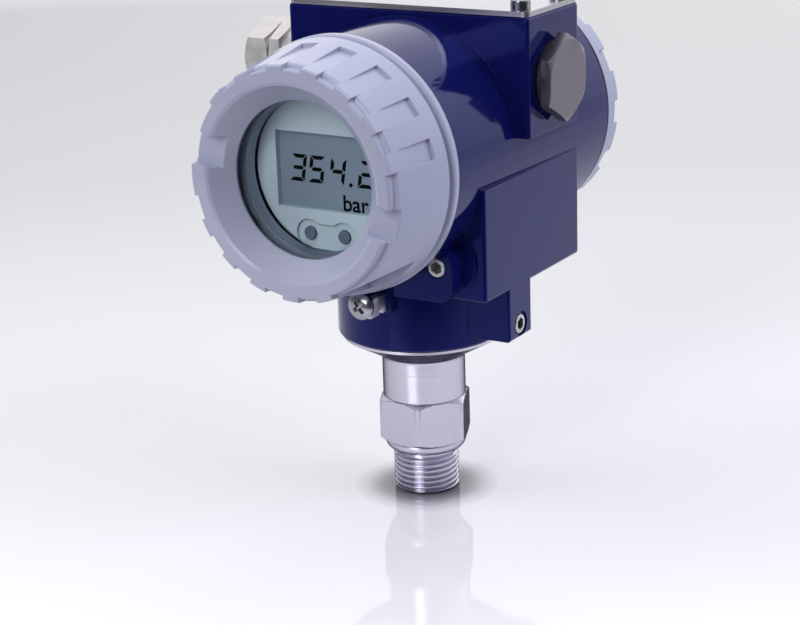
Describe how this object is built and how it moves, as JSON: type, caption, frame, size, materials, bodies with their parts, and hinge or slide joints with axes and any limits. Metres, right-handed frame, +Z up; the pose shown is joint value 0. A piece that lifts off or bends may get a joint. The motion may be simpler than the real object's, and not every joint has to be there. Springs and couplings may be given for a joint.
{
  "type": "pressure transmitter",
  "caption": "Field pressure transmitter: round housing with a windowed display cover, blind rear cover, cable gland and plug, on a neck with a spanner hexagon and pipe thread.",
  "frame": {"origin": "on the axis of the process thread, at its lower tip", "axes": "+Z up along the neck, the display looks towards -Y, the cable gland leaves towards -X, the plug towards +X"},
  "size_m": [0.1122, 0.1375, 0.1602],
  "materials": {
    "case_paint": "glossy dark blue powder coat on die-cast aluminium",
    "cover_paint": "satin light grey paint on die-cast aluminium",
    "stainless": "turned stainless steel",
    "bright_steel": "bright zinc-plated steel",
    "nickel_brass": "satin nickel plate on brass",
    "black_rubber": "matt",
    "window_glass": "clear, polished",
    "bezel_plastic": "fine moulded texture",
    "lcd_face": "grey polariser film",
    "key_plastic": "moulded",
    "board_green": "solder mask",
    "potting_black": "potting resin",
    "terminal_plastic": "moulded",
    "anodised_ring": "turned, grey anodised"
  },
  "bodies": {
    "neck": {"process_connection": "stainless", "sensor_neck": "stainless", "sensor_cell": "stainless", "sensor_board": "board_green", "neck_cover": "potting_black", "neck_seal": "black_rubber"},
    "case": {"housing": "case_paint", "name_plate": "stainless", "plate_screws": "bright_steel", "front_lock_screw": "stainless", "rear_lock_screw": "stainless", "neck_lock_screw": "stainless", "earth_clamp": "stainless", "earth_screw": "bright_steel", "electronics_module": "potting_black", "module_screws": "bright_steel", "display_bezel": "bezel_plastic", "lcd_panel": "lcd_face", "display_board": "board_green", "key_switches": "potting_black", "terminal_block": "terminal_plastic", "terminal_screws": "nickel_brass", "feedthrough": "potting_black", "inner_earth_screw": "bright_steel", "gland_body": "nickel_brass", "gland_gasket": "black_rubber", "gland_seal": "black_rubber"},
    "button_left": {"left_button": "key_plastic"},
    "button_right": {"right_button": "key_plastic"},
    "cover_front_travel": {"front_cover_seal": "black_rubber"},
    "cover_front": {"front_cover": "cover_paint", "window_glass": "window_glass", "window_gasket_front": "black_rubber", "window_gasket_back": "black_rubber", "window_retainer": "anodised_ring"},
    "cover_rear_travel": {"rear_cover_seal": "black_rubber"},
    "cover_rear": {"rear_cover": "cover_paint"},
    "plug_travel": {"plug_washer": "black_rubber"},
    "plug": {"blind_plug": "nickel_brass"},
    "nut_travel": {"gland_thrust_ring": "nickel_brass"},
    "nut": {"gland_nut": "nickel_brass"}
  },
  "joints": [
    {"name": "case_swivel", "type": "hinge", "parent": "neck", "child": "case", "pos_m": [0, 0, 0.0635], "axis": [0, 0, 1], "range_deg": [-180, 180]},
    {"name": "left_button_press", "type": "slide", "parent": "case", "child": "button_left", "axis": [0, 1, 0], "range_m": [0, 0.0006], "stiffness_N_per_m": 900, "springref_m": -0.0006},
    {"name": "right_button_press", "type": "slide", "parent": "case", "child": "button_right", "axis": [0, 1, 0], "range_m": [0, 0.0006], "stiffness_N_per_m": 900, "springref_m": -0.0006},
    {"name": "front_cover_travel", "type": "slide", "parent": "case", "child": "cover_front_travel", "axis": [0, -1, 0], "range_m": [0, 0.0105]},
    {"name": "front_cover_turn", "type": "hinge", "parent": "cover_front_travel", "child": "cover_front", "pos_m": [0, -0.055, 0.1158], "axis": [0, -1, 0], "range_deg": [0, 2520.5]},
    {"name": "rear_cover_travel", "type": "slide", "parent": "case", "child": "cover_rear_travel", "axis": [0, 1, 0], "range_m": [0, 0.0105]},
    {"name": "rear_cover_turn", "type": "hinge", "parent": "cover_rear_travel", "child": "cover_rear", "pos_m": [0, 0.06, 0.1158], "axis": [0, 1, 0], "range_deg": [0, 2520.5]},
    {"name": "plug_travel", "type": "slide", "parent": "case", "child": "plug_travel", "axis": [1, 0, 0], "range_m": [0, 0.0105]},
    {"name": "plug_turn", "type": "hinge", "parent": "plug_travel", "child": "plug", "pos_m": [0.044, 0.0102, 0.1355], "axis": [1, 0, 0], "range_deg": [0, 2520.5]},
    {"name": "gland_nut_travel", "type": "slide", "parent": "case", "child": "nut_travel", "axis": [-1, 0, 0], "range_m": [0, 0.00525]},
    {"name": "gland_nut_turn", "type": "hinge", "parent": "nut_travel", "child": "nut", "pos_m": [-0.058, 0.0102, 0.1355], "axis": [-1, 0, 0], "range_deg": [0, 1260.5]}
  ],
  "couplings": [
    {"joint": "front_cover_turn", "follows": "front_cover_travel", "rad_per_m": 4188.8},
    {"joint": "rear_cover_turn", "follows": "rear_cover_travel", "rad_per_m": 4188.8},
    {"joint": "plug_turn", "follows": "plug_travel", "rad_per_m": 4188.8},
    {"joint": "gland_nut_turn", "follows": "gland_nut_travel", "rad_per_m": 4188.8}
  ]
}
